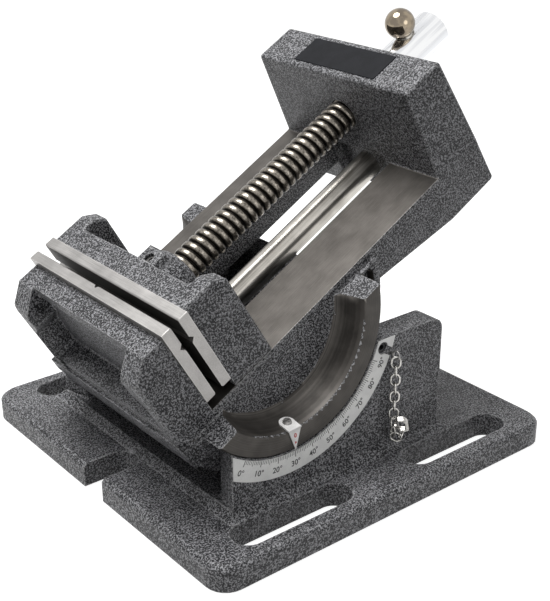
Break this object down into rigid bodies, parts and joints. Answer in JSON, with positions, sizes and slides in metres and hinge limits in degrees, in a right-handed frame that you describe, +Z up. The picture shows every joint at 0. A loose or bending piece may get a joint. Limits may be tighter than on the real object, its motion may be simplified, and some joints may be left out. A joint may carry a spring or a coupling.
{
  "type": "tilting machine vise",
  "caption": "Cast machine vise whose bed tilts from level to upright in two arc cheeks, with a screw-driven jaw, degree scale, slotted base and sliding crank bar.",
  "frame": {"origin": "centre of the base plate's underside", "axes": "+X towards the crank end, along the bed's direction seen from above; +Y across the vise, away from the side with the degree scale; +Z up"},
  "size_m": [0.2897, 0.226, 0.23],
  "materials": {
    "cast_paint": "glossy charcoal hammertone enamel on cast iron",
    "ground_steel": "surface-ground steel, fine straight grain",
    "polished_steel": "polished round bar",
    "turned_steel": "turned dark steel with bright thread crests",
    "chrome": "bright chrome plating",
    "ball_brass": "dull nickelled brass",
    "black_steel": "black oxide fasteners",
    "scale_white": "white enamelled strip with black marks",
    "pointer_white": "white enamel with a red mark",
    "plate_slate": "bare matt slate plate",
    "nickel": "nickel plated wire"
  },
  "bodies": {
    "base": {"base_casting": "cast_paint", "degree_scale": "scale_white", "chain_eye": "black_steel"},
    "vise_body": {"vise_body_casting": "cast_paint", "fixed_jaw_plate": "ground_steel", "fixed_jaw_screws": "black_steel", "guide_rod": "polished_steel", "rod_set_screw": "black_steel", "nameplate": "plate_slate", "angle_pointer": "pointer_white", "pointer_screw": "nickel"},
    "moving_jaw_body": {"moving_jaw": "cast_paint", "moving_jaw_plate": "ground_steel", "moving_jaw_screws": "black_steel", "screw_retainer": "black_steel", "keeper_plates": "black_steel", "keeper_screws": "black_steel"},
    "spindle": {"lead_screw": "turned_steel", "screw_head": "chrome", "head_pin": "turned_steel"},
    "handle": {"handle_bar": "chrome", "handle_ball_top": "ball_brass", "handle_ball_bottom": "ball_brass"},
    "lock_screw_near": {"tilt_lock_screw_near": "black_steel"},
    "lock_screw_far": {"tilt_lock_screw_far": "black_steel"},
    "chain": {"chain_links": "nickel", "clasp_ring": "nickel", "clasp_hook": "nickel"},
    "clasp": {"clasp_lever": "nickel"}
  },
  "joints": [
    {"name": "tilt", "type": "hinge", "parent": "base", "child": "vise_body", "pos_m": [-0.048, 0, 0.0994], "axis": [0, -1, 0], "range_deg": [-30, 60]},
    {"name": "jaw_slide", "type": "slide", "parent": "vise_body", "child": "moving_jaw_body", "axis": [0.866, 0, 0.5], "range_m": [-0.0046, 0.112]},
    {"name": "screw_turn", "type": "hinge", "parent": "moving_jaw_body", "child": "spindle", "pos_m": [-0.05535, 0, 0.11213], "axis": [0.866, 0, 0.5], "range_deg": [-331.2, 8064]},
    {"name": "handle_slide", "type": "slide", "parent": "spindle", "child": "handle", "axis": [-0.5, 0, 0.866], "range_m": [0, 0.088]},
    {"name": "lock_near_turn", "type": "hinge", "parent": "base", "child": "lock_screw_near", "pos_m": [0.01449, -0.075, 0.07666], "axis": [0, -1, 0], "range_deg": [0, 180]},
    {"name": "lock_far_turn", "type": "hinge", "parent": "base", "child": "lock_screw_far", "pos_m": [0.01449, 0.075, 0.07666], "axis": [0, 1, 0], "range_deg": [0, 180]},
    {"name": "chain_swing", "type": "hinge", "parent": "base", "child": "chain", "pos_m": [0.021, -0.08425, 0.0696], "axis": [0, 1, 0], "range_deg": [-30, 30]},
    {"name": "clasp_press", "type": "hinge", "parent": "chain", "child": "clasp", "pos_m": [0.02187, -0.08716, 0.02969], "axis": [0.5337, 0.6591, 0.5299], "range_deg": [0, 25], "stiffness_Nm_per_rad": 0.00001, "springref_deg": -11.46}
  ],
  "couplings": [
    {"joint": "jaw_slide", "follows": "screw_turn", "m_per_rad": 0.00079577}
  ]
}
